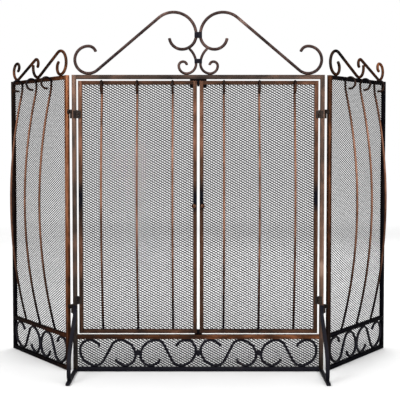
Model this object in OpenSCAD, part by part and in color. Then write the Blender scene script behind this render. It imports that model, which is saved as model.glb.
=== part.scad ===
// Three-panel fireplace screen with two doors, bowed bars and scrollwork.
// +Z is up and the front faces -Y. The origin is under the middle of the centre panel, on the floor.
// Right-hand pieces are drawn, and left-hand pieces are their mirror images.

/* [Centre panel] */
// Width of the centre panel over its stiles
center_w = 660; // [620:10:720]
// Height of all three panels, without the crest
panel_h = 780; // [700:10:860]
// Side of the square bar in the centre panel
center_bar = 11; // [10:0.5:12]
// Clear height of the scroll row under the doors
apron_h = 75; // [70:1:80]

/* [Doors] */
// Side of the square bar in the doors
door_bar = 10; // [9:0.5:10]
// Gap between a door and the stile that it hangs on
door_side_gap = 5.5; // [5.5:0.1:6]
// Gap between the two doors
door_mid_gap = 7; // [7:0.5:9]
// Gap above and below a door
door_end_gap = 4.5; // [4:0.5:6]
// Height of the knobs above the floor
knob_z = 438; // [380:1:500]

/* [Side panels] */
// Width of a side panel
side_w = 328; // [300:2:328]
// Side of the square bar in the side panels
side_bar = 10; // [9:0.5:10]
// Angle that the side panels are folded back as the screen stands
fold_angle = 52.5; // [0:0.5:90]

/* [Bowed bars] */
// Diameter of the bowed bars
bow_rod_d = 6; // [5:0.5:7]
// Lean of a bowed bar at its foot, which sets how far it bows out
bow_foot_lean = 15; // [14:0.1:15.2]
// Lean of a bowed bar below its hook
bow_top_lean = 13.3; // [13.2:0.1:13.8]
// Radius of the hook at the top of a bowed bar
hook_r = 15; // [14:0.5:16]
// Spacing of the bowed bars on a door
door_bow_pitch = 92; // [80:1:96]
// Spacing of the bowed bars on a side panel
side_bow_pitch = 86; // [76:1:92]

/* [Scrolls] */
// Diameter of the large crest scrolls
crest_rod_d = 8; // [7:0.5:8]
// Diameter of the other scrolls
scroll_rod_d = 7; // [6:0.25:7]
// Height of the centre of the top loops above the panel
crest_loop_z = 103.5; // [95:0.5:110]
// Radius of the top loops of the crest
crest_loop_r = 59; // [54:1:62]

/* [Feet] */
// How far the feet reach in front of the centre panel
foot_reach = 140; // [120:2:160]
// Width of the foot bars
foot_w = 10; // [8:1:11]
// Height at which a foot brace leaves the top of its stile joint
foot_top_z = 176; // [170:1:178]

/* [Mesh] */
// Thickness of the wire mesh sheets
mesh_t = 1.2; // [0.8:0.1:1.4]
// How far a mesh sheet laps onto its frame
mesh_lap = 4; // [3:0.5:5]

/* [Hidden] */
rod_sides = 6;
facet_turn = 20;
facet_len = 60;

front_y = -center_bar / 2;
rear_y = center_bar / 2;
inner_w = center_w - 2 * center_bar;
mid_z = center_bar + apron_h;
door_open_z = mid_z + center_bar;

// Doors
door_w = (inner_w - 2 * door_side_gap - door_mid_gap) / 2;
door_x = door_mid_gap / 2;
door_y = front_y + door_bar / 2;
door_z = door_open_z + door_end_gap;
door_top = panel_h - center_bar - door_end_gap;
knob_r = 6.8;
neck_r = 3;
neck_h = 4;
knob_x = door_x + door_bar - neck_r;

// Side panels, drawn from the hinge axis outwards with their own +X along the panel
hinge_out = 3.75;
hinge_back = 3.5;
hinge_x = center_w / 2 + hinge_out;
hinge_y = rear_y + hinge_back;
side_x = 1.5;
side_y = -hinge_back - side_bar / 2;
side_mid_z = mid_z;
side_inner_w = side_w - 2 * side_bar;

// Side panel hinges: a knuckle and pin on the centre panel, a lift-off sleeve on the side panel
panel_hinge_zs = [153, 667];
panel_barrel_r = 3.25;
panel_pin_r = 1.6;
knuckle_h = 12;
knuckle_floor = 4;
sleeve_h = 11;
leaf_t = 2.2;
leaf_reach = 11;

// Door hinges: three knuckles on a pin, with a leaf on each front face
door_hinge_zs = [179, 667];
door_hinge_h = 20;
door_barrel_r = 3;
door_pin_r = 1.4;
door_hinge_x = inner_w / 2 - door_side_gap / 2;
door_leaf_t = 1.5;
door_hinge_y = front_y - door_leaf_t;
door_leaf_w = 9.75;
door_leaf_clear = 0.25;
knuckle_gap = 0.2;
pin_play = 0.05;

// Hooks rest on the lower front edge of the top rail, and this sets their tops against its top face
hook_rise = -2;
hook_turn = 290;
bow_reverse_r = 120;

// S scrolls of the lower row
s_scroll_w = 153;
s_bend_x = 34;
s_bend_r = 27;
s_bend_end = 10;
s_curl_turn = 160;
collar_w = 9;
collar_d = 8;
collar_h = 14;

// Crest of the centre panel
crest_gap = 5.4;
crest_curl_x = 286.5;
crest_curl_r = 35.4;
crest_tip_r = 20;
crest_tip_turn = 75;
crest_end_r = 37;
crest_end_tip_r = 33;
crest_end_tip_turn = 83;
small_x = 5.7;
small_lead_r = 52;
small_lead_turn = 48.7;
small_r = 25.3;
small_z = scroll_rod_d / 2 + small_r;
small_side_r = 19.8;
small_top_r = 11.2;
small_tip_r = 10;
small_tip_turn = 85;
upper_collar = [20, 12, 15];
lower_collar = [20, 11, 11];
lower_collar_z = 36;

// Crest of a side panel: [distance along the panel, radius] of its curls
side_loop = [39, 31];
side_loop_tip = [18, 150];
side_curl = [169, 27];
side_curl_end = 108.5;
side_small_loop = [177, 12];
side_small_loop_z = 42;
side_small_loop_turn = 172;
side_small_curl = [294, 23];
side_small_tip = [11, 170];

// Feet
foot_bar_h = 6;
foot_brace_t = 5;
foot_x = center_w / 2 - center_bar / 2;

// Door catch and stop, on the backs of the top and middle rails
catch_w = 44;
catch_t = 1.8;
catch_top = panel_h - 1;
catch_low = door_top - door_bar;
magnet_x = 17.4;
magnet_drop = 13;
magnet_r = 5.5;
magnet_t = 0.8;
stem_w = 6;
stem_drop = 4;
stop_w = 20;
stop_low = mid_z + 2;
stop_rise = 13;

// ---- Paths: lists of [x, z, heading], from chains of arcs [radius, turn] and straights [0, length] ----

function on_arc(centre, r, heading, side) =
    [centre.x + side * r * sin(heading), centre.y - side * r * cos(heading)];

function arc_points(p, heading, r, turn) =
    let (
        side = sign(turn),
        steps = max(ceil(abs(turn) / facet_turn), ceil(r * abs(turn) * PI / 180 / facet_len)),
        centre = [p.x - side * r * sin(heading), p.y + side * r * cos(heading)]
    )
    [for (k = [1 : steps])
        let (h = heading + turn * k / steps, q = on_arc(centre, r, h, side))
        [q.x, q.y, h]];

function chain_points(p, heading, chain, i = 0) =
    i >= len(chain) ? [] :
    let (
        r = chain[i][0],
        v = chain[i][1],
        part = r > 0 ? arc_points(p, heading, r, v)
                     : [[p.x + v * cos(heading), p.y + v * sin(heading), heading]],
        last = part[len(part) - 1]
    )
    concat(part, chain_points([last.x, last.y], last.z, chain, i + 1));

function path(p, heading, chain) = concat([[p.x, p.y, heading]], chain_points(p, heading, chain));

// Heading and length of the straight that crosses from one circle to the next.
// side is +1 from a left-hand turn.
function cross_heading(c1, r1, c2, r2, side) =
    atan2(c2.y - c1.y, c2.x - c1.x) + side * asin((r1 + r2) / norm(c2 - c1));
function cross_length(c1, r1, c2, r2) = sqrt(pow(norm(c2 - c1), 2) - pow(r1 + r2, 2));

// Half of an S scroll of height h and width w, as a chain from its middle to its lower left tip
function s_half(h, w, d) =
    let (
        half_h = (h - d) / 2,
        half_w = (w - d) / 2,
        bend_drop = half_h - s_bend_r,
        reach = norm([s_bend_x, bend_drop]),
        lead = atan2(-bend_drop, -s_bend_x) + asin(s_bend_r / reach) + 360,
        bend_end = [-s_bend_x - s_bend_r * sin(s_bend_end), -bend_drop - s_bend_r * cos(s_bend_end)],
        side_r = (half_w + bend_end.x) / (1 - sin(s_bend_end)),
        curl_r = half_h - (bend_end.y + side_r * cos(s_bend_end))
    )
    [lead, [[0, sqrt(reach * reach - s_bend_r * s_bend_r)],
            [s_bend_r, -(lead - 180 + s_bend_end)],
            [side_r, -(90 - s_bend_end)],
            [curl_r, -s_curl_turn]]];

function reversed(points) =
    [for (i = [len(points) - 1 : -1 : 0]) [points[i].x, points[i].y, points[i].z + 180]];
function turned(points) = [for (q = points) [-q.x, -q.y, q.z + 180]];
function tail(points) = [for (i = [1 : len(points) - 1]) points[i]];

function s_points(h, w, d) =
    let (half = s_half(h, w, d), low = path([0, 0], half[0], half[1]))
    concat(reversed(low), tail(turned(low)));

// A bowed bar from the top of a bottom rail at z0 to its hook on a top rail whose top is at z1
function bow_points(z0, z1, bar) =
    let (
        start_z = z0 + bow_rod_d / 2 * sin(bow_foot_lean),
        hook_z = z1 + hook_rise - hook_r,
        edge = max(z1 - bar - hook_z, 0),
        hook_n = bar / 2 - hook_r + sqrt(pow(hook_r + bow_rod_d / 2, 2) - edge * edge),
        rise = hook_z - start_z,
        leans = sin(bow_foot_lean) + sin(bow_top_lean),
        bow_r = (rise - bow_reverse_r * sin(bow_top_lean)) / leans,
        bulge = bow_r * (1 - cos(bow_foot_lean)) - (bow_r + bow_reverse_r) * (1 - cos(bow_top_lean))
    )
    path([hook_n - bulge, start_z], 90 - bow_foot_lean,
         [[bow_r, bow_foot_lean + bow_top_lean], [bow_reverse_r, -bow_top_lean], [hook_r, -hook_turn]]);

// ---- Shapes ----

// A round rod swept along a path in the XZ plane
module rod(points, d) {
    n = len(points);
    ring = [for (k = [0 : rod_sides - 1]) 360 * k / rod_sides];
    corners = [for (q = points) for (a = ring)
        [q.x - d / 2 * cos(a) * sin(q.z), d / 2 * sin(a), q.y + d / 2 * cos(a) * cos(q.z)]];
    walls = [for (i = [0 : n - 2]) for (k = [0 : rod_sides - 1])
        let (k2 = (k + 1) % rod_sides)
        [i * rod_sides + k, i * rod_sides + k2, (i + 1) * rod_sides + k2, (i + 1) * rod_sides + k]];
    first = [for (k = [rod_sides - 1 : -1 : 0]) k];
    last = [for (k = [0 : rod_sides - 1]) (n - 1) * rod_sides + k];
    polyhedron(corners, concat(walls, [first, last]), convexity = 6);
}

// A flat strap of thickness t and width w along a path in the XZ plane
module strap(points, t, w) {
    front = [for (q = points) [q.x - t / 2 * sin(q.z), q.y + t / 2 * cos(q.z)]];
    back = [for (q = points) [q.x + t / 2 * sin(q.z), q.y - t / 2 * cos(q.z)]];
    rotate([90, 0, 0])
        linear_extrude(w, center = true)
            polygon(concat(front, [for (i = [len(back) - 1 : -1 : 0]) back[i]]));
}

// A bar along Z or X of a square section centred on y = 0
module upright(x, z0, z1, bar) {
    translate([x, -bar / 2, z0]) cube([bar, bar, z1 - z0]);
}
module crossbar(x0, x1, z, bar) {
    translate([x0, -bar / 2, z]) cube([x1 - x0, bar, bar]);
}

module mesh_sheet(x0, x1, z0, z1, y) {
    translate([x0, y, z0]) cube([x1 - x0, mesh_t, z1 - z0]);
}

module mirrored(left) {
    if (left) mirror([1, 0, 0]) children();
    else children();
}

// Places a side panel's pieces, drawn in its own frame, on its hinge axis
module on_side(left) {
    mirrored(left)
        translate([hinge_x, hinge_y, 0])
            rotate([0, 0, fold_angle])
                children();
}

module on_door(left) {
    mirrored(left)
        translate([door_x, door_y, 0])
            children();
}

// ---- Centre panel ----

module center_stile(left) {
    color("saddlebrown") mirrored(left) upright(center_w / 2 - center_bar, 0, panel_h, center_bar);
}
module center_left_stile() { center_stile(true); }
module center_right_stile() { center_stile(false); }
module center_rail(z) { color("sienna") crossbar(-inner_w / 2, inner_w / 2, z, center_bar); }
module center_top_rail() { center_rail(panel_h - center_bar); }
module center_mid_rail() { center_rail(mid_z); }
module center_bottom_rail() { center_rail(0); }

module apron_mesh() {
    color("gray")
        mesh_sheet(-inner_w / 2, inner_w / 2, center_bar, mid_z, rear_y - mesh_t);
}

// Scrolls 1 and 3 lean to the right and 2 and 4 are their mirror images
module apron_scroll(i) {
    pitch = inner_w / 4;
    color("black")
        translate([pitch * (i - 2.5), 0, center_bar + apron_h / 2])
            mirrored(i % 2 == 0)
                rod(s_points(apron_h, s_scroll_w, scroll_rod_d), scroll_rod_d);
}
module apron_scroll_1() { apron_scroll(1); }
module apron_scroll_2() { apron_scroll(2); }
module apron_scroll_3() { apron_scroll(3); }
module apron_scroll_4() { apron_scroll(4); }

// Collars join neighbouring scrolls at the middle of their height
module apron_collars() {
    pitch = inner_w / 4;
    color("black")
        for (j = [-1 : 1])
            translate([pitch * j, 0, center_bar + apron_h / 2])
                cube([collar_w, collar_d, collar_h], center = true);
}

module crest_scroll(left) {
    r = crest_curl_r;
    low = [-crest_curl_x, crest_rod_d / 2 + r];
    high = [-crest_gap - crest_loop_r, crest_loop_z];
    lead = cross_heading(low, r, high, crest_loop_r, 1);
    start = on_arc([low.x, low.y + r - crest_tip_r], crest_tip_r, 180 - crest_tip_turn, 1);
    chain = [[crest_tip_r, crest_tip_turn],
             [r, 180 + lead],
             [0, cross_length(low, r, high, crest_loop_r)],
             [crest_loop_r, -(90 + lead)],
             [crest_end_r, -90],
             [crest_end_tip_r, -crest_end_tip_turn]];
    color("saddlebrown")
        translate([0, 0, panel_h])
            mirrored(!left)
                rod(path(start, 180 - crest_tip_turn, chain), crest_rod_d);
}
module crest_scroll_left() { crest_scroll(true); }
module crest_scroll_right() { crest_scroll(false); }

module crest_curl(left) {
    lead_centre = [-small_x - small_lead_r, small_z];
    heading = small_lead_turn - 90;
    chain = [[small_lead_r, -small_lead_turn],
             [small_r, -90],
             [small_side_r, -90],
             [small_top_r, -90],
             [small_tip_r, -small_tip_turn]];
    color("saddlebrown")
        translate([0, 0, panel_h])
            mirrored(!left)
                rod(path(on_arc(lead_centre, small_lead_r, heading, -1), heading, chain), scroll_rod_d);
}
module crest_curl_left() { crest_curl(true); }
module crest_curl_right() { crest_curl(false); }

module crest_collar(size, z) {
    color("black") translate([0, 0, panel_h + z]) cube(size, center = true);
}
module crest_upper_collar() { crest_collar(upper_collar, crest_loop_z); }
module crest_lower_collar() { crest_collar(lower_collar, lower_collar_z); }

// ---- Feet ----

// The curved brace leaves the stile, sweeps forward and comes down onto the foot bar
module foot_brace(left) {
    chain = [[0, 11], [25, 52], [0, 100], [70, -52], [30, -25], [0, 14]];
    color("black")
        mirrored(left)
            translate([foot_x, front_y, 0])
                difference() {
                    rotate([0, 0, -90])
                        strap(path([foot_brace_t / 2, foot_top_z], -90, chain), foot_brace_t, foot_w);
                    translate([-foot_w, -foot_reach, -foot_bar_h])
                        cube([2 * foot_w, foot_reach, 2 * foot_bar_h]);
                }
}
module left_foot_brace() { foot_brace(true); }
module right_foot_brace() { foot_brace(false); }

module foot_bars() {
    toe = foot_bar_h / 3;
    outline = [[0, 0], [foot_reach - toe, 0], [foot_reach, toe], [foot_reach, 2 * toe],
               [foot_reach - toe, foot_bar_h], [0, foot_bar_h]];
    color("black")
        for (left = [true, false])
            mirrored(left)
                translate([foot_x, front_y, 0])
                    rotate([90, 0, -90])
                        linear_extrude(foot_w, center = true) polygon(outline);
}

// ---- Door catch, stop and hinges on the centre panel ----

// Draws a flat outline on the back face of the centre panel, with thickness t away from it
module on_rear(t) {
    translate([0, rear_y + t, 0]) rotate([90, 0, 0]) linear_extrude(t) children();
}

// The plate shows above the doors and between them. Its two round ears carry the magnets, just below
// the doors' top rails, where they show through the mesh.
module catch_plate() {
    color("black")
        on_rear(catch_t)
            union() {
                translate([-catch_w / 2, catch_low]) square([catch_w, catch_top - catch_low]);
                translate([-stem_w / 2, catch_low - stem_drop]) square([stem_w, stem_drop + 1]);
                for (x = [-magnet_x, magnet_x])
                    translate([x, door_top - magnet_drop]) circle(r = magnet_r, $fn = 48);
            }
}

module catch_magnets() {
    color("dimgray")
        for (x = [-magnet_x, magnet_x])
            translate([x, rear_y, door_top - magnet_drop])
                rotate([90, 0, 0])
                    cylinder(r = magnet_r, h = magnet_t, $fn = 48);
}

// The stop is fixed behind the middle rail, where the two doors meet
module door_stop() {
    color("black")
        on_rear(catch_t)
            translate([-stop_w / 2, stop_low])
                square([stop_w, door_open_z + stop_rise - stop_low]);
}

// One knuckle of a door hinge with its tongue towards the leaf on the +X side
module door_knuckle(z0, z1, tongue) {
    translate([0, 0, z0]) cylinder(r = door_barrel_r, h = z1 - z0, $fn = 48);
    translate([0, 0, z0]) cube([tongue, door_leaf_t, z1 - z0]);
}

module door_pin_bore() {
    translate([0, 0, -1]) cylinder(r = door_pin_r + pin_play, h = door_hinge_h + 2, $fn = 48);
}

module on_door_hinge(left, z) {
    mirrored(left) translate([door_hinge_x, door_hinge_y, z]) children();
}

module door_hinge_frame_leaves() {
    third = door_hinge_h / 3;
    tongue = door_barrel_r + door_leaf_clear;
    color("black")
        for (left = [true, false]) for (z = door_hinge_zs)
            on_door_hinge(left, z)
                difference() {
                    union() {
                        door_knuckle(0, third, tongue);
                        door_knuckle(2 * third, door_hinge_h, tongue);
                        translate([tongue, 0, 0])
                            cube([door_leaf_w - tongue, door_leaf_t, door_hinge_h]);
                    }
                    door_pin_bore();
                }
}

module door_hinge_leaves(left) {
    third = door_hinge_h / 3;
    tongue = door_barrel_r + door_leaf_clear;
    color("black")
        for (z = door_hinge_zs)
            on_door_hinge(left, z)
                difference() {
                    mirror([1, 0, 0]) union() {
                        door_knuckle(third + knuckle_gap, 2 * third - knuckle_gap, tongue);
                        translate([tongue, 0, 0])
                            cube([door_leaf_w - tongue, door_leaf_t, door_hinge_h]);
                    }
                    door_pin_bore();
                }
}
module left_door_hinge_leaves() { door_hinge_leaves(true); }
module right_door_hinge_leaves() { door_hinge_leaves(false); }

module door_hinge_pins() {
    color("dimgray")
        for (left = [true, false]) for (z = door_hinge_zs)
            on_door_hinge(left, z) {
                translate([0, 0, 0.5]) cylinder(r = door_pin_r, h = door_hinge_h - 0.5, $fn = 48);
                translate([0, 0, door_hinge_h]) cylinder(r = door_barrel_r - 0.5, h = 1.2, $fn = 48);
            }
}

// ---- Side panel hinges ----

module panel_hinge_knuckles() {
    color("black")
        for (left = [true, false]) for (z = panel_hinge_zs)
            mirrored(left)
                translate([hinge_x, hinge_y, z])
                    difference() {
                        union() {
                            cylinder(r = panel_barrel_r, h = knuckle_h, $fn = 48);
                            translate([-hinge_out, -leaf_reach, 0]) cube([leaf_t, leaf_reach, knuckle_h]);
                        }
                        translate([0, 0, knuckle_floor])
                            cylinder(r = panel_pin_r + pin_play, h = knuckle_h, $fn = 48);
                    }
}

module panel_hinge_pins() {
    color("dimgray")
        for (left = [true, false]) for (z = panel_hinge_zs)
            mirrored(left)
                translate([hinge_x, hinge_y, z + knuckle_floor])
                    cylinder(r = panel_pin_r, h = knuckle_h - knuckle_floor + sleeve_h - 1, $fn = 48);
}

module panel_hinge_sleeves(left) {
    color("black")
        for (z = panel_hinge_zs)
            on_side(left)
                translate([0, 0, z + knuckle_h + knuckle_gap])
                    difference() {
                        union() {
                            cylinder(r = panel_barrel_r, h = sleeve_h, $fn = 48);
                            translate([side_x - leaf_t, -leaf_reach, 0]) cube([leaf_t, leaf_reach, sleeve_h]);
                        }
                        translate([0, 0, -1])
                            cylinder(r = panel_pin_r + pin_play, h = sleeve_h + 2, $fn = 48);
                    }
}
module left_panel_hinge_sleeves() { panel_hinge_sleeves(true); }
module right_panel_hinge_sleeves() { panel_hinge_sleeves(false); }

// ---- Doors ----

module door_stiles(left) {
    color("sienna")
        on_door(left) {
            upright(0, door_z, door_top, door_bar);
            upright(door_w - door_bar, door_z, door_top, door_bar);
        }
}
module left_door_stiles() { door_stiles(true); }
module right_door_stiles() { door_stiles(false); }

module door_rails(left) {
    color("sienna")
        on_door(left) {
            crossbar(door_bar, door_w - door_bar, door_z, door_bar);
            crossbar(door_bar, door_w - door_bar, door_top - door_bar, door_bar);
        }
}
module left_door_rails() { door_rails(true); }
module right_door_rails() { door_rails(false); }

module door_mesh(left) {
    color("gray")
        on_door(left)
            mesh_sheet(door_bar, door_w - door_bar, door_z + door_bar, door_top - door_bar,
                       door_bar / 2 - mesh_t);
}
module left_door_mesh() { door_mesh(true); }
module right_door_mesh() { door_mesh(false); }

module bowed_bars(mid_x, pitch, z0, z1, bar) {
    for (i = [-1 : 1])
        translate([mid_x + i * pitch, 0, 0])
            rotate([0, 0, -90])
                rod(bow_points(z0, z1, bar), bow_rod_d);
}

module door_bars(left) {
    color("peru")
        on_door(left)
            bowed_bars(door_w / 2, door_bow_pitch, door_z + door_bar, door_top, door_bar);
}
module left_door_bars() { door_bars(true); }
module right_door_bars() { door_bars(false); }

// A round knob on a short neck
module door_knob(left) {
    color("peru")
        mirrored(left)
            translate([knob_x, front_y, knob_z])
                rotate([90, 0, 0])
                    union() {
                        cylinder(r = neck_r, h = neck_h + knob_r, $fn = 48);
                        translate([0, 0, neck_h + knob_r - 0.8]) sphere(r = knob_r, $fn = 48);
                    }
}
module left_door_knob() { door_knob(true); }
module right_door_knob() { door_knob(false); }

// ---- Side panels ----

module side_stiles(left) {
    color("sienna")
        on_side(left)
            translate([side_x, side_y, 0]) {
                upright(0, 0, panel_h, side_bar);
                upright(side_w - side_bar, 0, panel_h, side_bar);
            }
}
module left_panel_stiles() { side_stiles(true); }
module right_panel_stiles() { side_stiles(false); }

module side_rails(left) {
    color("saddlebrown")
        on_side(left)
            translate([side_x, side_y, 0])
                for (z = [0, side_mid_z, panel_h - side_bar])
                    crossbar(side_bar, side_w - side_bar, z, side_bar);
}
module left_panel_rails() { side_rails(true); }
module right_panel_rails() { side_rails(false); }

module side_mesh(left) {
    edge = side_bar - mesh_lap;
    color("gray")
        on_side(left)
            translate([side_x, side_y, 0])
                mesh_sheet(edge, side_w - edge, edge, panel_h - edge, side_bar / 2);
}
module left_panel_mesh() { side_mesh(true); }
module right_panel_mesh() { side_mesh(false); }

module side_bars(left) {
    color("peru")
        on_side(left)
            translate([side_x, side_y, 0])
                bowed_bars(side_w / 2, side_bow_pitch, side_mid_z + side_bar, panel_h, side_bar);
}
module left_panel_bars() { side_bars(true); }
module right_panel_bars() { side_bars(false); }

module side_scrolls(left) {
    scroll_w = side_inner_w / 2;
    open_h = side_mid_z - side_bar;
    color("black")
        on_side(left)
            translate([side_x + side_w / 2, side_y, side_bar + open_h / 2])
                for (outer = [true, false])
                    mirrored(outer)
                        translate([-scroll_w / 2, 0, 0])
                            rod(s_points(open_h, scroll_w, scroll_rod_d), scroll_rod_d);
}
module left_panel_scrolls() { side_scrolls(true); }
module right_panel_scrolls() { side_scrolls(false); }

// The large scroll starts in the loop beside the hinge, and the small one rests on its outer curl
module side_crest(left) {
    rest = crest_rod_d / 2;
    loop_c = [side_loop[0], rest + side_loop[1]];
    curl_c = [side_curl[0], rest + side_curl[1]];
    lead = cross_heading(loop_c, side_loop[1], curl_c, side_curl[1], -1);
    start_heading = 180 + side_loop_tip[1];
    start = on_arc([loop_c.x, rest + side_loop_tip[0]], side_loop_tip[0], start_heading, -1);
    large = [[side_loop_tip[0], -side_loop_tip[1]],
             [side_loop[1], lead - 180],
             [0, cross_length(loop_c, side_loop[1], curl_c, side_curl[1])],
             [side_curl[1], side_curl_end - lead]];

    top_c = [side_small_loop[0], side_small_loop_z];
    end_c = [side_small_curl[0], rest + side_small_curl[1]];
    fall = cross_heading(top_c, side_small_loop[1], end_c, side_small_curl[1], -1);
    small_heading = fall + side_small_loop_turn;
    small = [[side_small_loop[1], -side_small_loop_turn],
             [0, cross_length(top_c, side_small_loop[1], end_c, side_small_curl[1])],
             [side_small_curl[1], 180 - fall],
             [side_small_tip[0], side_small_tip[1]]];
    color("saddlebrown")
        on_side(left)
            translate([side_x, side_y, panel_h]) {
                rod(path(start, start_heading, large), crest_rod_d);
                rod(path(on_arc(top_c, side_small_loop[1], small_heading, -1), small_heading, small),
                    crest_rod_d);
            }
}
module left_panel_crest() { side_crest(true); }
module right_panel_crest() { side_crest(false); }

center_left_stile();
center_right_stile();
center_top_rail();
center_mid_rail();
center_bottom_rail();
apron_mesh();
apron_scroll_1();
apron_scroll_2();
apron_scroll_3();
apron_scroll_4();
apron_collars();
crest_scroll_left();
crest_scroll_right();
crest_curl_left();
crest_curl_right();
crest_upper_collar();
crest_lower_collar();
left_foot_brace();
right_foot_brace();
foot_bars();
catch_plate();
catch_magnets();
door_stop();
door_hinge_frame_leaves();
door_hinge_pins();
panel_hinge_knuckles();
panel_hinge_pins();
left_door_stiles();
left_door_rails();
left_door_mesh();
left_door_bars();
left_door_knob();
left_door_hinge_leaves();
right_door_stiles();
right_door_rails();
right_door_mesh();
right_door_bars();
right_door_knob();
right_door_hinge_leaves();
left_panel_stiles();
left_panel_rails();
left_panel_mesh();
left_panel_bars();
left_panel_scrolls();
left_panel_crest();
left_panel_hinge_sleeves();
right_panel_stiles();
right_panel_rails();
right_panel_mesh();
right_panel_bars();
right_panel_scrolls();
right_panel_crest();
right_panel_hinge_sleeves();
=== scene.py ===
import math

import bpy
from mathutils import Matrix, Vector


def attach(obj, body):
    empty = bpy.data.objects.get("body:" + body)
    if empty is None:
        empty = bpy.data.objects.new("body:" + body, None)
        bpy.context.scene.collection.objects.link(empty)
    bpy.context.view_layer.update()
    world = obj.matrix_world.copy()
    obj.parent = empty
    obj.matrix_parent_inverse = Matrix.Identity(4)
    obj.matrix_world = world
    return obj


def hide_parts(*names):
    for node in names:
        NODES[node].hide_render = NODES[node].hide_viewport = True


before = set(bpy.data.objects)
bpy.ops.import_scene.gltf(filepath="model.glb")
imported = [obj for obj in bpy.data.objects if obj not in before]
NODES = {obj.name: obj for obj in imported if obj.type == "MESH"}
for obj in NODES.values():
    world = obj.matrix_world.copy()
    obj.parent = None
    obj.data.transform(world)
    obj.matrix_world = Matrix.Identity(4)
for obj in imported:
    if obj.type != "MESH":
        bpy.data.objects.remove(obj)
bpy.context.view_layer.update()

MM = 0.001

# Sizes that part.scad states or works out, in millimetres and degrees. A pair is (radius, turn), and a chain
# is made of such pairs, with a straight as (0, length). The brace ends 3 mm sooner than its CAD strap, which
# runs on and is cut at the floor
INNER_W = 638
PANEL_H = 780
CENTER_BAR = 11
APRON_H = 75
FOOT_X = 324.5
FOOT_TOP_Z = 176
BRACE_T = 5
BRACE_W = 10
BRACE_CHAIN = ((0, 11), (25, 52), (0, 100), (70, -52), (30, -25), (0, 11))

DOOR_BAR = 10
DOOR_W = 310
DOOR_X = 3.5
DOOR_Y = -0.5
DOOR_LOW = 101.5
DOOR_TOP = 764.5
DOOR_BOW_PITCH = 92

SIDE_W = 328
SIDE_BAR = 10
SIDE_X = 1.5
SIDE_Y = -8.5
SIDE_MID_Z = 86
SIDE_INNER_W = SIDE_W - 2 * SIDE_BAR
SIDE_BOW_PITCH = 86
HINGE_X = 333.75
HINGE_Y = 9
FOLD = 52.5

BOW_D = 6
BOW_FOOT_LEAN = 15
BOW_TOP_LEAN = 13.3
BOW_REVERSE_R = 120
HOOK = (15, 290)
HOOK_DROP = 2

SCROLL_D = 7
S_SCROLL_W = 153
S_BEND_X = 34
S_BEND_R = 27
S_BEND_END = 10
S_CURL_TURN = 160

CREST_D = 8
CREST_GAP = 5.4
CREST_LOOP_Z = 103.5
CREST_LOOP_R = 59
CREST_CURL_X = 286.5
CREST_CURL_R = 35.4
CREST_TIP = (20, 75)
CREST_END_R = 37
CREST_END_TIP = (33, 83)
SMALL_X = 5.7
SMALL_LEAD = (52, 48.7)
SMALL_R = 25.3
SMALL_SIDE_R = 19.8
SMALL_TOP_R = 11.2
SMALL_TIP = (10, 85)

# Side crests: a pair is (x of its centre, radius), and a tip is (radius, turn)
SIDE_LOOP = (39, 31)
SIDE_LOOP_TIP = (18, 150)
SIDE_CURL = (169, 27)
SIDE_CURL_END = 108.5
SIDE_SMALL_LOOP = (177, 12)
SIDE_SMALL_LOOP_Z = 42
SIDE_SMALL_LOOP_TURN = 172
SIDE_SMALL_CURL = (294, 23)
SIDE_SMALL_TIP = (11, 170)

# Mesh: MESH_LAP is how far a side sheet laps onto its frame, as in part.scad. The cells are diamonds of two
# layers, each LIFT from the middle. STRAND_DEEP is the most that a strand's half depth can be, and the
# strands of one layer are wider than those of the other
MESH_LAP = 4
CELL_HALF_W = 5.88
CELL_HALF_H = 3.32
LIFT = 0.3
STRAND_DEEP = 0.8
MESH_DEPTH = STRAND_DEEP + LIFT
HEAVY_R = 1.38
FINE_R = 0.72
SIDE_HEAVY_R = 1.15
SIDE_FINE_R = 0.5
HEM_R = 0.9
SHORTEST_WIRE = 1.5
WIRE_SIDES = 8

# Rods: sides, the longest steps along arcs in degrees and millimetres, and how an end rounds off.
# The nose is a share of the rod's diameter, its marks are where rings stand, and its tip and swell are
# shares of the radius. NO_LENGTH stands in for a step of no length
ROD_SIDES = 16
ARC_STEP = 5
LONG_STEP = 25
NOSE = 0.22
NOSE_MARKS = (0.03, 0.09, 0.15, NOSE)
NOSE_TIP = 0.55
NOSE_SWELL = 0.45
NO_LENGTH = 1e-9

# Edges eased on the straps and on the CAD pieces that show, in millimetres and degrees
STRAP_EASE = 0.8
BAR_EASE = 0.6
SMALL_EASE = 0.3
EASE_ANGLE = 40
WELD_GAP = 0.001
BAR_WORDS = ("stile", "rail", "foot_bars", "collar")

# Right-hand pieces are drawn as they are and left-hand ones mirrored, except on the crest
HANDS = ((True, "left"), (False, "right"))


# ---- Paths: lists of (x, z, heading) in millimetres and degrees ----

def sind(a):
    return math.sin(math.radians(a))


def cosd(a):
    return math.cos(math.radians(a))


def on_arc(centre, r, heading, side):
    """The point of an arc where its heading is this. side is 1 for a left turn and -1 for a right turn."""
    return (centre[0] + side * r * sind(heading), centre[1] - side * r * cosd(heading))


def path(start, heading, chain):
    """Points along arcs (radius, turn) and straights (0, length)."""
    x, z = start
    points = [(x, z, heading)]
    for r, value in chain:
        if r == 0:
            count = max(1, math.ceil(value / LONG_STEP))
            x0, z0 = x, z
            for k in range(1, count + 1):
                x = x0 + value * k / count * cosd(heading)
                z = z0 + value * k / count * sind(heading)
                points.append((x, z, heading))
            continue
        side = 1 if value > 0 else -1
        length = r * math.radians(abs(value))
        count = max(math.ceil(abs(value) / ARC_STEP), math.ceil(length / LONG_STEP))
        centre = (x - side * r * sind(heading), z + side * r * cosd(heading))
        for k in range(1, count + 1):
            h = heading + value * k / count
            x, z = on_arc(centre, r, h, side)
            points.append((x, z, h))
        heading += value
    return points


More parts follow.
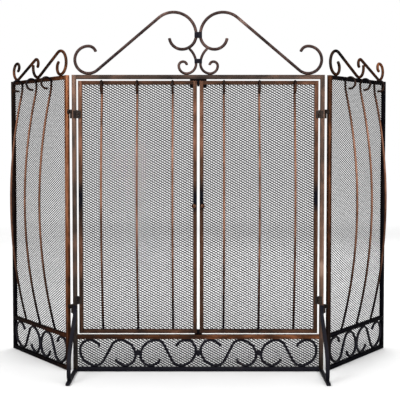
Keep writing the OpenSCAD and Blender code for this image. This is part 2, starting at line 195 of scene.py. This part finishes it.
def cross_heading(c1, r1, c2, r2, side):
    """The heading of the straight that leaves one circle and meets another on its far side."""
    dx, dz = c2[0] - c1[0], c2[1] - c1[1]
    return math.degrees(math.atan2(dz, dx) + side * math.asin((r1 + r2) / math.hypot(dx, dz)))


def cross_length(c1, r1, c2, r2):
    """The length of that straight."""
    return math.sqrt((c2[0] - c1[0]) ** 2 + (c2[1] - c1[1]) ** 2 - (r1 + r2) ** 2)


def s_points(h, w, d):
    """An S scroll of height h and width w, the same after half a turn."""
    half_h, half_w = (h - d) / 2, (w - d) / 2
    drop = half_h - S_BEND_R
    reach = math.hypot(S_BEND_X, drop)
    lead = math.degrees(math.atan2(-drop, -S_BEND_X) + math.asin(S_BEND_R / reach)) + 360
    end_x = -S_BEND_X - S_BEND_R * sind(S_BEND_END)
    end_z = -drop - S_BEND_R * cosd(S_BEND_END)
    side_r = (half_w + end_x) / (1 - sind(S_BEND_END))
    curl_r = half_h - (end_z + side_r * cosd(S_BEND_END))
    low = path((0, 0), lead, [
        (0, math.sqrt(reach ** 2 - S_BEND_R ** 2)),
        (S_BEND_R, -(lead - 180 + S_BEND_END)),
        (side_r, -(90 - S_BEND_END)),
        (curl_r, -S_CURL_TURN),
    ])
    back = [(x, z, a + 180) for x, z, a in reversed(low)]
    return back + [(-x, -z, a + 180) for x, z, a in low[1:]]


def bow_points(z0, z1, bar):
    """A bowed bar from the top of a bottom rail to its hook on a top rail."""
    hook_r, hook_turn = HOOK
    start_z = z0 + BOW_D / 2 * sind(BOW_FOOT_LEAN)
    hook_z = z1 - HOOK_DROP - hook_r
    hook_n = bar / 2 - hook_r + math.sqrt((hook_r + BOW_D / 2) ** 2 - (z1 - bar - hook_z) ** 2)
    rise = hook_z - start_z
    bow_r = (rise - BOW_REVERSE_R * sind(BOW_TOP_LEAN)) / (sind(BOW_FOOT_LEAN) + sind(BOW_TOP_LEAN))
    bulge = bow_r * (1 - cosd(BOW_FOOT_LEAN)) - (bow_r + BOW_REVERSE_R) * (1 - cosd(BOW_TOP_LEAN))
    return path((hook_n - bulge, start_z), 90 - BOW_FOOT_LEAN, [
        (bow_r, BOW_FOOT_LEAN + BOW_TOP_LEAN), (BOW_REVERSE_R, -BOW_TOP_LEAN), (hook_r, -hook_turn)])


def crest_points():
    """The large left scroll on the centre panel, from its low tip over the loop to its inner end."""
    tip_r, tip_turn = CREST_TIP
    end_tip_r, end_tip_turn = CREST_END_TIP
    low = (-CREST_CURL_X, CREST_D / 2 + CREST_CURL_R)
    high = (-CREST_GAP - CREST_LOOP_R, CREST_LOOP_Z)
    lead = cross_heading(low, CREST_CURL_R, high, CREST_LOOP_R, 1)
    start = on_arc((low[0], low[1] + CREST_CURL_R - tip_r), tip_r, 180 - tip_turn, 1)
    return path(start, 180 - tip_turn, [
        (tip_r, tip_turn), (CREST_CURL_R, 180 + lead),
        (0, cross_length(low, CREST_CURL_R, high, CREST_LOOP_R)),
        (CREST_LOOP_R, -(90 + lead)), (CREST_END_R, -90), (end_tip_r, -end_tip_turn)])


def curl_points():
    """The small left curl under the large scrolls."""
    lead_r, lead_turn = SMALL_LEAD
    tip_r, tip_turn = SMALL_TIP
    heading = lead_turn - 90
    start = on_arc((-SMALL_X - lead_r, SCROLL_D / 2 + SMALL_R), lead_r, heading, -1)
    return path(start, heading, [
        (lead_r, -lead_turn), (SMALL_R, -90), (SMALL_SIDE_R, -90), (SMALL_TOP_R, -90), (tip_r, -tip_turn)])


def side_large_points():
    """The large S on a side panel, from the tip of its loop to its curl."""
    rest = CREST_D / 2
    (loop_x, loop_r), (curl_x, curl_r), (tip_r, tip_turn) = SIDE_LOOP, SIDE_CURL, SIDE_LOOP_TIP
    loop_c, curl_c = (loop_x, rest + loop_r), (curl_x, rest + curl_r)
    heading = tip_turn + 180
    lead = cross_heading(loop_c, loop_r, curl_c, curl_r, -1)
    start = on_arc((loop_x, rest + tip_r), tip_r, heading, -1)
    return path(start, heading, [
        (tip_r, -tip_turn), (loop_r, lead - 180), (0, cross_length(loop_c, loop_r, curl_c, curl_r)),
        (curl_r, SIDE_CURL_END - lead)])


def side_small_points():
    """The small S on a side panel, from its top loop to the tip of its outer curl."""
    (loop_x, loop_r), (curl_x, curl_r) = SIDE_SMALL_LOOP, SIDE_SMALL_CURL
    loop_c, curl_c = (loop_x, SIDE_SMALL_LOOP_Z), (curl_x, CREST_D / 2 + curl_r)
    fall = cross_heading(loop_c, loop_r, curl_c, curl_r, -1)
    start = on_arc(loop_c, loop_r, fall + SIDE_SMALL_LOOP_TURN, -1)
    return path(start, fall + SIDE_SMALL_LOOP_TURN, [
        (loop_r, -SIDE_SMALL_LOOP_TURN), (0, cross_length(loop_c, loop_r, curl_c, curl_r)),
        (curl_r, 180 - fall), SIDE_SMALL_TIP])


def brace_points():
    """A foot brace, from the front of its stile down and out to the toe."""
    return path((BRACE_T / 2, FOOT_TOP_Z), -90, BRACE_CHAIN)


# ---- Meshes ----

def new_piece(name, verts, faces, body, nodes, smooth):
    mesh = bpy.data.meshes.new(name)
    mesh.from_pydata(verts, [], faces)
    mesh.validate()
    mesh.update()
    if smooth:
        mesh.polygons.foreach_set("use_smooth", [True] * len(mesh.polygons))
    piece = bpy.data.objects.new(name, mesh)
    bpy.context.scene.collection.objects.link(piece)
    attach(piece, body)
    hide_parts(*nodes)
    return piece


class Shape:
    """Collects vertices and faces, placed in the row frame by a matrix in millimetres."""

    def __init__(self):
        self.verts = []
        self.faces = []

    def add(self, verts, faces, place):
        start = len(self.verts)
        flip = place.determinant() < 0
        for v in verts:
            self.verts.append(tuple((place @ Vector(v)) * MM))
        for f in faces:
            f = [start + i for i in f]
            self.faces.append(f[::-1] if flip else f)

    def rings(self, rings, place):
        """Closes a tube over a list of rings of equal size, with a pole at each end."""
        n = len(rings[0])
        verts = [v for ring in rings for v in ring]
        first, last = len(verts), len(verts) + 1
        verts.append(tuple(sum(v[k] for v in rings[0]) / n for k in range(3)))
        verts.append(tuple(sum(v[k] for v in rings[-1]) / n for k in range(3)))
        faces = []
        for i in range(len(rings) - 1):
            for k in range(n):
                k2 = (k + 1) % n
                faces.append([i * n + k, i * n + k2, (i + 1) * n + k2, (i + 1) * n + k])
        end = (len(rings) - 1) * n
        for k in range(n):
            k2 = (k + 1) % n
            faces.append([first, k2, k])
            faces.append([last, end + k, end + k2])
        self.add(verts, faces, place)

    def rod(self, points, d, place):
        """A round rod with softly rounded ends."""
        along = [0.0]
        for a, b in zip(points, points[1:]):
            along.append(along[-1] + math.hypot(b[0] - a[0], b[1] - a[1]))
        total = along[-1]
        nose = NOSE * d
        turns = [2 * math.pi * k / ROD_SIDES for k in range(ROD_SIDES)]

        def radius_at(s):
            edge = min(s, total - s)
            if edge >= nose:
                return d / 2
            return d / 2 * (NOSE_TIP + NOSE_SWELL * math.sqrt(max(0.0, 1 - (1 - edge / nose) ** 2)))

        ends = [mark * d for mark in NOSE_MARKS]
        rings = []
        i = 0
        for s in sorted(set(along + ends + [total - e for e in ends])):
            while i < len(along) - 2 and along[i + 1] < s:
                i += 1
            f = (s - along[i]) / max(along[i + 1] - along[i], NO_LENGTH)
            x, z, h = (a + f * (b - a) for a, b in zip(points[i], points[i + 1]))
            r = radius_at(s)
            rings.append([(x - r * math.cos(t) * sind(h), r * math.sin(t), z + r * math.cos(t) * cosd(h))
                          for t in turns])
        self.rings(rings, place)

    def strap(self, points, t, w, place):
        """A flat strap with eased edges along a path in the XZ plane."""
        half_t, half_w = t / 2, w / 2
        in_t, in_w = half_t - STRAP_EASE, half_w - STRAP_EASE
        outline = [(half_t, in_w), (in_t, half_w), (-in_t, half_w), (-half_t, in_w),
                   (-half_t, -in_w), (-in_t, -half_w), (in_t, -half_w), (half_t, -in_w)]
        rings = [[(x - u * sind(h), -v, z + u * cosd(h)) for u, v in outline] for x, z, h in points]
        self.rings(rings, place)

    def wire(self, a, b, r, place):
        """A straight wire between two points, flattened to STRAND_DEEP where it is wider than that."""
        deep = min(r, STRAND_DEEP)
        a, b = Vector(a), Vector(b)
        along = (b - a).normalized()
        side = along.cross(Vector((0, 1, 0))).normalized()
        up = side.cross(along)
        n = WIRE_SIDES
        turns = [2 * math.pi * k / n for k in range(n)]
        verts = [tuple(p + r * math.cos(t) * side + deep * math.sin(t) * up) for p in (a, b) for t in turns]
        faces = [[k, (k + 1) % n, n + (k + 1) % n, n + k] for k in range(n)]
        faces += [list(range(n))[::-1], list(range(n, 2 * n))]
        self.add(verts, faces, place)

    def cloth(self, x0, x1, z0, z1, y, radii, place, hem):
        """Wire cloth: a layer of rising and one of falling wires, and a hem wire if asked."""
        slope = CELL_HALF_H / CELL_HALF_W
        width = x1 - x0
        span = slope * width
        count = int((z1 - z0 + span) / (2 * CELL_HALF_H)) + 2
        for lean, layer, r in ((slope, -LIFT, radii[0]), (-slope, LIFT, radii[1])):
            for k in range(count):
                # The wire lies on z = at + lean * (x - x0), cut to the sheet
                at = z0 + 2 * CELL_HALF_H * k + (-span if lean > 0 else 0) + CELL_HALF_H / 2
                ends = sorted(((z0 - at) / lean, (z1 - at) / lean))
                a, b = max(0.0, ends[0]), min(width, ends[1])
                if b - a >= SHORTEST_WIRE:
                    start, end = ((x0 + u, y + layer, at + lean * u) for u in (a, b))
                    self.wire(start, end, r, place)
        if hem:
            corners = [(x0, z0), (x1, z0), (x1, z1), (x0, z1)]
            for (xa, za), (xb, zb) in zip(corners, corners[1:] + corners[:1]):
                self.wire((xa, y, za), (xb, y, zb), HEM_R, place)


def mirror(left):
    return Matrix.Scale(-1, 4, Vector((1, 0, 0))) if left else Matrix.Identity(4)


def shift(x, y, z):
    return Matrix.Translation(Vector((x, y, z)))


def spin(degrees):
    return Matrix.Rotation(math.radians(degrees), 4, "Z")


def door_place(left):
    return mirror(left) @ shift(DOOR_X, DOOR_Y, 0)


def side_place(left):
    return mirror(left) @ shift(HINGE_X, HINGE_Y, 0) @ spin(FOLD) @ shift(SIDE_X, SIDE_Y, 0)


PIECES = {}


def piece(name, shape, body, slot, smooth=True):
    """Makes a finer piece in place of the CAD node with this name."""
    PIECES[name] = new_piece(name + "_fine", shape.verts, shape.faces, body, [name], smooth)


# Lower scrolls: four share the row, numbered from 1 with 2.5 in the middle, and every second one is mirrored
for i in range(1, 5):
    shape = Shape()
    place = shift(INNER_W / 4 * (i - 2.5), 0, CENTER_BAR + APRON_H / 2) @ mirror(i % 2 == 0)
    shape.rod(s_points(APRON_H, S_SCROLL_W, SCROLL_D), SCROLL_D, place)
    piece(f"apron_scroll_{i}", shape, "centre_panel", "black_iron")

# Crest
for left, tag in HANDS:
    place = shift(0, 0, PANEL_H) @ mirror(not left)
    shape = Shape()
    shape.rod(crest_points(), CREST_D, place)
    piece(f"crest_scroll_{tag}", shape, "centre_panel", "bronze")
    shape = Shape()
    shape.rod(curl_points(), SCROLL_D, place)
    piece(f"crest_curl_{tag}", shape, "centre_panel", "bronze")

# Feet
for left, tag in HANDS:
    place = mirror(left) @ shift(FOOT_X, -CENTER_BAR / 2, 0) @ spin(-90)
    shape = Shape()
    shape.strap(brace_points(), BRACE_T, BRACE_W, place)
    piece(f"{tag}_foot_brace", shape, "centre_panel", "black_iron", smooth=False)

# Mesh, bowed bars and side scrolls. The left door is mirrored, so its layers swap to keep the grain of both
# doors leaning the same way
shape = Shape()
shape.cloth(-INNER_W / 2, INNER_W / 2, CENTER_BAR, CENTER_BAR + APRON_H, CENTER_BAR / 2 - MESH_DEPTH,
            (FINE_R, HEAVY_R), Matrix.Identity(4), hem=False)
piece("apron_mesh", shape, "centre_panel", "mesh")

for left, tag in HANDS:
    shape = Shape()
    shape.cloth(DOOR_BAR, DOOR_W - DOOR_BAR, DOOR_LOW + DOOR_BAR, DOOR_TOP - DOOR_BAR,
                DOOR_BAR / 2 - MESH_DEPTH, (HEAVY_R, FINE_R) if left else (FINE_R, HEAVY_R),
                door_place(left), hem=False)
    piece(f"{tag}_door_mesh", shape, f"{tag}_door", "mesh")

    shape = Shape()
    for k in (-1, 0, 1):
        place = door_place(left) @ shift(DOOR_W / 2 + k * DOOR_BOW_PITCH, 0, 0) @ spin(-90)
        shape.rod(bow_points(DOOR_LOW + DOOR_BAR, DOOR_TOP, DOOR_BAR), BOW_D, place)
    piece(f"{tag}_door_bars", shape, f"{tag}_door", "copper")

    edge = SIDE_BAR - MESH_LAP
    shape = Shape()
    shape.cloth(edge, SIDE_W - edge, edge, PANEL_H - edge, SIDE_BAR / 2 + MESH_DEPTH - LIFT,
                (SIDE_FINE_R, SIDE_HEAVY_R), side_place(left), hem=True)
    piece(f"{tag}_panel_mesh", shape, f"{tag}_panel", "mesh")

    shape = Shape()
    for k in (-1, 0, 1):
        place = side_place(left) @ shift(SIDE_W / 2 + k * SIDE_BOW_PITCH, 0, 0) @ spin(-90)
        shape.rod(bow_points(SIDE_MID_Z + SIDE_BAR, PANEL_H, SIDE_BAR), BOW_D, place)
    piece(f"{tag}_panel_bars", shape, f"{tag}_panel", "copper")

    shape = Shape()
    open_h = SIDE_MID_Z - SIDE_BAR
    for outer in (True, False):
        place = (side_place(left) @ shift(SIDE_W / 2, 0, SIDE_BAR + open_h / 2) @ mirror(outer)
                 @ shift(-SIDE_INNER_W / 4, 0, 0))
        shape.rod(s_points(open_h, SIDE_INNER_W / 2, SCROLL_D), SCROLL_D, place)
    piece(f"{tag}_panel_scrolls", shape, f"{tag}_panel", "black_iron")

    shape = Shape()
    place = side_place(left) @ shift(0, 0, PANEL_H)
    shape.rod(side_large_points(), CREST_D, place)
    shape.rod(side_small_points(), CREST_D, place)
    piece(f"{tag}_panel_crest", shape, f"{tag}_panel", "bronze")

# The remaining CAD nodes show as they are, with their seams welded and their edges eased
for name, node in NODES.items():
    if node.hide_render:
        continue
    weld = node.modifiers.new("weld", "WELD")
    weld.merge_threshold = WELD_GAP * MM
    bevel = node.modifiers.new("ease", "BEVEL")
    bar = any(word in name for word in BAR_WORDS)
    bevel.width = (BAR_EASE if bar else SMALL_EASE) * MM
    bevel.segments = 2
    bevel.limit_method = "ANGLE"
    bevel.angle_limit = math.radians(EASE_ANGLE)
    bevel.harden_normals = True
    node.data.polygons.foreach_set("use_smooth", [True] * len(node.data.polygons))


# ---- Materials ----

BLACK = (0.006, 0.006, 0.009)
SOOT = (0.018, 0.012, 0.010)
BROWN = (0.060, 0.024, 0.012)
COPPER = (0.23, 0.085, 0.038)
ROSE = (0.50, 0.23, 0.13)
# Stops from black to rose copper: burnish, and on the side panels their bright end is painted highlight and
# their dark end painted shade
BURNISH_AND_PAINTED_LIGHT_STOPS = ((0.0, BLACK), (0.25, SOOT), (0.5, BROWN), (0.75, COPPER), (1.0, ROSE))
EDGE_TINT = (0.22, 0.17, 0.15)
EDGE_SPECULAR = 0.2
WHITE = (1.0, 1.0, 1.0)
AXES = {"X": 0, "Y": 1, "Z": 2}

# Noise scales of the burnish and the hammering, how far streaks are drawn out, and the depth of the hammering
PATCH_SCALE = 14
STREAK_SCALE = 160
STREAK_DRAWN = 0.12
DENT_SCALE = 260
PIT_SCALE = 1600
PIT_SHARE = 0.25
DENT_DEPTH = 0.0006


def rgba(colour):
    return (*colour, 1.0)


def add(tree, kind, **values):
    node = tree.nodes.new(kind)
    for key, value in values.items():
        setattr(node, key, value)
    return node


def math_node(tree, operation, a, b):
    node = add(tree, "ShaderNodeMath", operation=operation)
    for socket, value in zip(node.inputs, (a, b)):
        if isinstance(value, (int, float)):
            socket.default_value = value
        else:
            tree.links.new(value, socket)
    return node.outputs[0]


def ramp(tree, factor, stops):
    node = add(tree, "ShaderNodeValToRGB")
    elements = node.color_ramp.elements
    while len(elements) < len(stops):
        elements.new(0.5)
    for element, (at, colour) in zip(elements, stops):
        element.position = at
        element.color = rgba(colour if isinstance(colour, tuple) else (colour,) * 3)
    tree.links.new(factor, node.inputs[0])
    return node.outputs[0]


def remap(tree, value, start, end, low=0.0, high=1.0):
    """Turns start to end into low to high, and stops there at both ends."""
    node = add(tree, "ShaderNodeMapRange")
    node.inputs["From Min"].default_value = start
    node.inputs["From Max"].default_value = end
    node.inputs["To Min"].default_value = low
    node.inputs["To Max"].default_value = high
    tree.links.new(value, node.inputs["Value"])
    return node.outputs[0]


def sway(tree, amount, value, reach):
    """Adds noise of 0 to 1 to an amount as -reach to reach."""
    offset = math_node(tree, "MULTIPLY", math_node(tree, "SUBTRACT", value, 0.5), reach * 2)
    return math_node(tree, "ADD", amount, offset)


def noise(tree, vector, scale, detail=4.0, rough=0.55, stretch=None):
    if stretch:
        mapping = add(tree, "ShaderNodeMapping")
        mapping.inputs["Scale"].default_value = stretch
        tree.links.new(vector, mapping.inputs["Vector"])
        vector = mapping.outputs[0]
    node = add(tree, "ShaderNodeTexNoise")
    node.inputs["Scale"].default_value = scale
    node.inputs["Detail"].default_value = detail
    node.inputs["Roughness"].default_value = rough
    tree.links.new(vector, node.inputs["Vector"])
    return node.outputs["Fac"]


def burnished_with_painted_light(name, profile, axis="Z", grain=None, span=(0.0, 0.95), patch=0.45, streak=0.35, stops=BURNISH_AND_PAINTED_LIGHT_STOPS,
              metallic=0.9, rough=(0.34, 0.58), hammer=0.36, low=None):
    """Burnished metal. profile gives how bright the colour is painted along one axis of the row frame, over
    span
    in metres: burnish, and on the side panels also painted highlight and painted shade. low=(height, drop)
    darkens it from that height down to the floor."""
    mat = bpy.data.materials.new(name)
    mat.use_nodes = True
    tree = mat.node_tree
    shader = tree.nodes["Principled BSDF"]
    at = add(tree, "ShaderNodeTexCoord").outputs["Object"]
    split = add(tree, "ShaderNodeSeparateXYZ")
    tree.links.new(at, split.inputs[0])
    drawn = [1.0, 1.0, 1.0]
    drawn[AXES[grain or axis]] = STREAK_DRAWN
    patches = noise(tree, at, PATCH_SCALE, detail=5)
    streaks = noise(tree, at, STREAK_SCALE, detail=6, rough=0.65, stretch=tuple(drawn))
    # The profile sets how bright the colour is along one axis: burnish, and on the side panels also painted
    # highlight and painted shade
    amount = ramp(tree, remap(tree, split.outputs[AXES[axis]], *span), profile)
    amount = sway(tree, amount, patches, patch)
    amount = sway(tree, amount, streaks, streak)
    if low:
        height, drop = low
        sink = remap(tree, split.outputs["Z"], 0.0, height, -drop, 0.0)
        amount = math_node(tree, "ADD", amount, sink)
    tree.links.new(ramp(tree, amount, stops), shader.inputs["Base Color"])
    shader.inputs["Metallic"].default_value = metallic
    shader.inputs["Specular IOR Level"].default_value = EDGE_SPECULAR
    shader.inputs["Specular Tint"].default_value = rgba(EDGE_TINT)
    tree.links.new(ramp(tree, streaks, ((0.3, rough[0]), (0.7, rough[1]))), shader.inputs["Roughness"])
    dents = noise(tree, at, DENT_SCALE, detail=2)
    pits = noise(tree, at, PIT_SCALE, detail=3)
    relief = math_node(tree, "ADD", dents, math_node(tree, "MULTIPLY", pits, PIT_SHARE))
    bump = add(tree, "ShaderNodeBump")
    bump.inputs["Strength"].default_value = hammer
    bump.inputs["Distance"].default_value = DENT_DEPTH
    tree.links.new(relief, bump.inputs["Height"])
    tree.links.new(bump.outputs[0], shader.inputs["Normal"])
    return mat


# The colours of each finish, from dark to bright burnish
IRON_STOPS = ((0.0, (0.004, 0.004, 0.007)), (0.5, (0.011, 0.011, 0.015)), (0.8, (0.035, 0.026, 0.024)),
              (1.0, (0.10, 0.055, 0.04)))
TAUPE_STOPS = ((0.0, BLACK), (0.3, (0.022, 0.018, 0.016)), (0.55, (0.06, 0.042, 0.034)),
               (0.8, (0.15, 0.085, 0.06)), (1.0, (0.33, 0.22, 0.17)))
CREST_STOPS = ((0.0, BLACK), (0.3, (0.020, 0.014, 0.014)), (0.55, (0.055, 0.034, 0.030)),
               (0.8, (0.15, 0.092, 0.078)), (1.0, (0.36, 0.26, 0.22)))
MESH_STOPS = ((0.2, (0.010, 0.011, 0.014)), (0.5, (0.022, 0.023, 0.028)), (0.8, (0.045, 0.048, 0.058)))
ROD_STOPS = ((0.0, BLACK), (0.25, SOOT), (0.5, (0.066, 0.031, 0.020)), (0.75, (0.22, 0.105, 0.066)),
             (1.0, (0.46, 0.27, 0.20)))
DOOR_STOPS = ((0.0, BLACK), (0.25, (0.024, 0.015, 0.012)), (0.5, (0.075, 0.036, 0.022)),
              (0.75, (0.19, 0.088, 0.056)), (1.0, (0.38, 0.23, 0.18)))

# Spans along X in metres: the centre panel, and the whole screen at rest
CENTRE_SPAN = (-0.33, 0.33)
FULL_SPAN = (-0.55, 0.55)

FINISH = {
    "iron": burnished_with_painted_light(
        "black_iron_worn", ((0.0, 0.35), (1.0, 0.45)), stops=IRON_STOPS, metallic=0.5, patch=0.5),
    "centre_stile": burnished_with_painted_light(
        "bronze_centre_stile", ((0.0, 0.32), (0.25, 0.52), (0.6, 0.64), (1.0, 0.68)), stops=TAUPE_STOPS),
    "right_stile": burnished_with_painted_light(
        "bronze_right_stile", ((0.0, 0.42), (0.3, 0.8), (0.6, 0.68), (1.0, 0.64)), stops=TAUPE_STOPS),
    "top_rail": burnished_with_painted_light(
        "bronze_top_rail", ((0.0, 0.56), (0.5, 0.45), (1.0, 0.6)),
        axis="X", span=CENTRE_SPAN, stops=TAUPE_STOPS),
    "mid_rail": burnished_with_painted_light(
        "bronze_mid_rail", ((0.0, 0.42), (0.5, 0.45), (0.75, 0.62), (1.0, 0.5)), axis="X", span=CENTRE_SPAN),
    "door_stile": burnished_with_painted_light(
        "bronze_door_stile", ((0.1, 0.36), (0.35, 0.44), (0.44, 0.4), (0.468, 0.02), (0.49, 0.05),
                              (0.54, 0.5), (0.68, 0.6), (0.8, 0.5)),
        stops=DOOR_STOPS, patch=0.35),
    "door_rail": burnished_with_painted_light(
        "bronze_door_rail", ((0.0, 0.42), (0.5, 0.38), (1.0, 0.45)),
        axis="X", span=CENTRE_SPAN, stops=DOOR_STOPS),
    # The left panel's stiles are painted bright copper and the right panel's dark: a painted highlight where
    # the left panel faces the key lamp, and painted shade on the right. The outer stiles are darker still,
    # and the colour darkens towards the floor
    "side_stile_burnish_and_painted_light": burnished_with_painted_light(
        "bronze_side_stile", ((0.05, 0.25), (0.12, 0.8), (0.5, 0.8), (0.75, 0.55), (0.88, 0.5),
                              (0.95, -0.05)),
        axis="X", grain="Z", span=FULL_SPAN, patch=0.3, low=(0.4, 0.4)),
    # The left panel's rails are painted copper towards their inner end and the right panel's nearly black: a
    # painted highlight where the left panel faces the key lamp, and painted shade on the right. The colour
    # darkens towards the floor
    "side_rail_burnish_and_painted_light": burnished_with_painted_light(
        "bronze_side_rail", ((0.0, 0.3), (0.15, 0.5), (0.2, 0.62), (0.79, 0.15), (0.85, -0.05)),
        axis="X", span=FULL_SPAN, patch=0.3, low=(0.16, 0.35)),
    "bars": burnished_with_painted_light(
        "copper_bars", ((0.12, 0.1), (0.2, 0.3), (0.32, 0.6), (0.6, 0.74), (0.76, 0.58), (0.81, 0.12)),
        stops=ROD_STOPS, patch=0.3),
    "crest": burnished_with_painted_light(
        "bronze_crest", ((0.8, 0.45), (0.9, 0.52), (1.0, 0.6)), stops=CREST_STOPS, patch=0.6),
    # The left panel's crest is painted a little brighter towards its inner end than the right panel's: a
    # painted highlight where the left panel faces the key lamp. The large copper patches are burnish
    "side_crest": burnished_with_painted_light(
        "bronze_side_crest", ((0.0, 0.3), (0.2, 0.5), (0.8, 0.35), (1.0, 0.35)),
        axis="X", span=FULL_SPAN, patch=0.75, streak=0.25),
    "knob": burnished_with_painted_light(
        "copper_knob", ((0.0, 0.45), (1.0, 0.5)), stops=DOOR_STOPS, patch=0.3, rough=(0.16, 0.28)),
    "hinge": burnished_with_painted_light(
        "bronze_hinge", ((0.0, 0.3), (1.0, 0.4)), stops=TAUPE_STOPS, patch=0.3),
    "magnet": burnished_with_painted_light(
        "magnet_black", ((0.0, 0.3), (1.0, 0.35)), stops=IRON_STOPS, metallic=0.3, patch=0.2),
    "pin": burnished_with_painted_light(
        "pin_steel", ((0.0, 0.4), (1.0, 0.5)), stops=TAUPE_STOPS, rough=(0.25, 0.4)),
    "mesh": burnished_with_painted_light(
        "wire_cloth", ((0.0, 0.5), (1.0, 0.5)),
        stops=MESH_STOPS, metallic=0.85, patch=0.25, rough=(0.4, 0.6), hammer=0.09),
}

# The first word found in a piece's name chooses its finish
RULES = (
    ("magnet", "magnet"), ("pins", "pin"), ("_mesh", "mesh"), ("knob", "knob"),
    ("collar", "iron"), ("catch", "iron"), ("door_stop", "iron"), ("hinge", "hinge"),
    ("knuckle", "hinge"), ("foot", "iron"), ("apron_scroll", "iron"), ("panel_scrolls", "iron"),
    ("panel_crest", "side_crest"), ("crest", "crest"), ("_bars", "bars"),
    ("center_left_stile", "centre_stile"), ("center_right_stile", "right_stile"),
    ("top_rail", "top_rail"), ("mid_rail", "mid_rail"), ("bottom_rail", "iron"),
    ("door_stiles", "door_stile"), ("door_rails", "door_rail"),
    ("panel_stiles", "side_stile_burnish_and_painted_light"), ("panel_rails", "side_rail_burnish_and_painted_light"),
)


def paint(obj, name):
    finish = next(kind for word, kind in RULES if word in name)
    obj.data.materials.clear()
    obj.data.materials.append(FINISH[finish])


for name, obj in PIECES.items():
    paint(obj, name)
for name, node in NODES.items():
    if not node.hide_render:
        paint(node, name)


# ---- Floor, light and camera ----

# In metres. The floor's glow grows from GLOW_START to GLOW_END away from the origin, so that it stays as pale
# out there as near the screen, where the lamps light it
FLOOR_REACH = 12.0
FLOOR_Z = -0.001
FLOOR_SCALE = 3
FLOOR_TONES = ((0.3, 0.70), (0.7, 0.73))
GLOW_START = 2.0
GLOW_END = 4.9
GLOW = 0.52

# The studio darkens from front to back, from SKY_FRONT to SKY_BACK along Y
SKY_FRONT = -0.7
SKY_BACK = 0.5
SKY_TONES = ((0.0, 1.0), (1.0, 0.42))

floor_corners = [(x * FLOOR_REACH, y * FLOOR_REACH, FLOOR_Z) for x, y in ((-1, -1), (1, -1), (1, 1), (-1, 1))]
floor_mesh = bpy.data.meshes.new("floor")
floor_mesh.from_pydata(floor_corners, [], [(0, 1, 2, 3)])
floor = bpy.data.objects.new("floor", floor_mesh)
bpy.context.scene.collection.objects.link(floor)
floor_mat = bpy.data.materials.new("floor_pale")
floor_mat.use_nodes = True
floor_tree = floor_mat.node_tree
floor_shader = floor_tree.nodes["Principled BSDF"]
floor_at = add(floor_tree, "ShaderNodeTexCoord").outputs["Object"]
floor_tone = ramp(floor_tree, noise(floor_tree, floor_at, FLOOR_SCALE), FLOOR_TONES)
floor_tree.links.new(floor_tone, floor_shader.inputs["Base Color"])
away = add(floor_tree, "ShaderNodeVectorMath", operation="LENGTH")
floor_tree.links.new(floor_at, away.inputs[0])
glow = remap(floor_tree, away.outputs["Value"], GLOW_START, GLOW_END, high=GLOW)
floor_tree.links.new(glow, floor_shader.inputs["Emission Strength"])
floor_shader.inputs["Emission Color"].default_value = rgba(WHITE)
floor_shader.inputs["Roughness"].default_value = 1.0
floor_shader.inputs["Specular IOR Level"].default_value = 0.0
floor_mesh.materials.append(floor_mat)

world = bpy.data.worlds.new("studio")
bpy.context.scene.world = world
world.use_nodes = True
sky = world.node_tree
background = sky.nodes["Background"]
sky_split = add(sky, "ShaderNodeSeparateXYZ")
sky.links.new(add(sky, "ShaderNodeTexCoord").outputs["Generated"], sky_split.inputs[0])
studio = ramp(sky, remap(sky, sky_split.outputs["Y"], SKY_FRONT, SKY_BACK), SKY_TONES)

# Seen directly, the studio is white. The colour inputs of a mix are 6 and 7, and its colour output is 2
shown = add(sky, "ShaderNodeMix", data_type="RGBA")
sky.links.new(add(sky, "ShaderNodeLightPath").outputs["Is Camera Ray"], shown.inputs[0])
sky.links.new(studio, shown.inputs[6])
shown.inputs[7].default_value = rgba(WHITE)
sky.links.new(shown.outputs[2], background.inputs["Color"])
background.inputs["Strength"].default_value = 1.0


def area_light(name, place, aim, size, power):
    light = bpy.data.lights.new(name, "AREA")
    light.shape = "RECTANGLE"
    light.size, light.size_y = size
    light.energy = power
    lamp = bpy.data.objects.new(name, light)
    lamp.location = place
    lamp.rotation_euler = (Vector(aim) - Vector(place)).to_track_quat("-Z", "Y").to_euler()
    bpy.context.scene.collection.objects.link(lamp)


area_light("key", (-1.6, -2.2, 2.2), (0, 0, 0.4), (1.4, 1.4), 60)
area_light("fill", (2.0, -1.8, 1.4), (0, 0, 0.4), (1.6, 1.6), 34)
area_light("top", (0, 0.3, 3.0), (0, 0, 0), (3.0, 3.0), 60)
area_light("back", (0.6, 2.6, 1.9), (0, 0, 0.45), (2.0, 1.4), 34)

camera_data = bpy.data.cameras.new("camera")
camera_data.sensor_width = 36
camera_data.lens = 79.4
camera_data.shift_x = 0.0009
camera_data.shift_y = -0.0523
camera = bpy.data.objects.new("camera", camera_data)
camera.location = (0.0036, -2.3115, 0.604)
camera.rotation_euler = (math.radians(87.62), 0, 0)
bpy.context.scene.collection.objects.link(camera)
bpy.context.scene.camera = camera
bpy.context.scene.view_settings.view_transform = "Standard"

bpy.context.view_layer.update()
